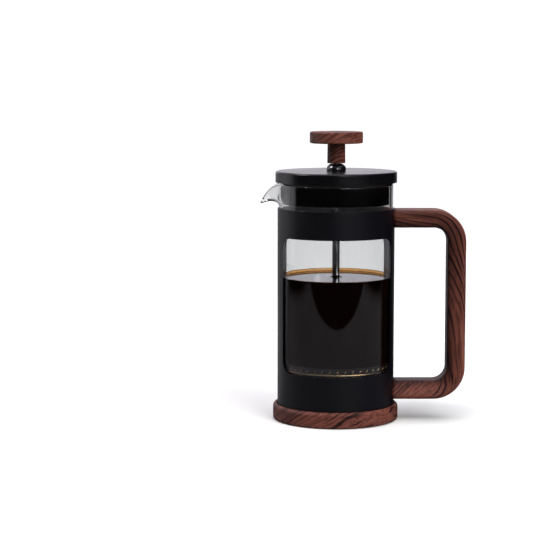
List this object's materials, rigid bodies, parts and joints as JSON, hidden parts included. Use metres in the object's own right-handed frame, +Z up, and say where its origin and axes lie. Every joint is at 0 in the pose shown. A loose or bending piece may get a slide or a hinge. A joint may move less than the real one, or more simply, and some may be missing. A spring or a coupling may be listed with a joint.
{
  "type": "french press",
  "caption": "Coffee press: spouted glass beaker in a windowed black steel sleeve, wooden base dish, C-shaped handle and knob, lid with strainer collar, sliding filter plunger.",
  "frame": {"origin": "middle of the underside, on the beaker's axis, where the foot pad rests", "axes": "+Z up along the beaker's axis, +X towards the handle, -X towards the spout"},
  "size_m": [0.1268, 0.078, 0.1789],
  "materials": {
    "wood": "satin walnut grain",
    "black_steel": "fine matt black powder coat",
    "black_plastic": "smooth black",
    "gloss_black": "polished black",
    "steel": "bright stainless",
    "brass": "turned",
    "silicone": "matt",
    "glass": "clear borosilicate"
  },
  "bodies": {
    "holder": {"foot_pad": "silicone", "base": "wood", "base_screws": "steel", "frame_floor": "black_steel", "frame_sleeve": "black_steel", "beaker_pad": "silicone", "handle": "wood", "handle_inserts": "brass", "handle_screws": "steel"},
    "glass_beaker": {"beaker": "glass"},
    "lid_seal": {"lid_gasket": "silicone"},
    "lid": {"lid_cap": "black_steel", "lid_collar": "black_plastic", "rod_bushing": "gloss_black", "bushing_nut": "steel"},
    "filter": {"spiral_plate": "steel", "edge_spring": "steel", "filter_mesh": "steel", "cross_plate": "steel", "hub_nut": "steel"},
    "plunger": {"plunger_rod": "steel", "rod_stop": "steel", "knob": "wood", "knob_insert": "brass"}
  },
  "joints": [
    {"name": "beaker_lift", "type": "slide", "parent": "holder", "child": "glass_beaker", "axis": [0, 0, 1], "range_m": [0, 0.13]},
    {"name": "lid_lift", "type": "slide", "parent": "glass_beaker", "child": "lid_seal", "axis": [0, 0, 1], "range_m": [0, 0.13]},
    {"name": "lid_turn", "type": "hinge", "parent": "lid_seal", "child": "lid", "pos_m": [0, 0, 0.1478], "axis": [0, 0, 1], "continuous": true},
    {"name": "plunger_slide", "type": "slide", "parent": "lid", "child": "filter", "axis": [0, 0, 1], "range_m": [0, 0.097]},
    {"name": "knob_turn", "type": "hinge", "parent": "filter", "child": "plunger", "pos_m": [0, 0, 0.03], "axis": [0, 0, 1], "continuous": true}
  ]
}
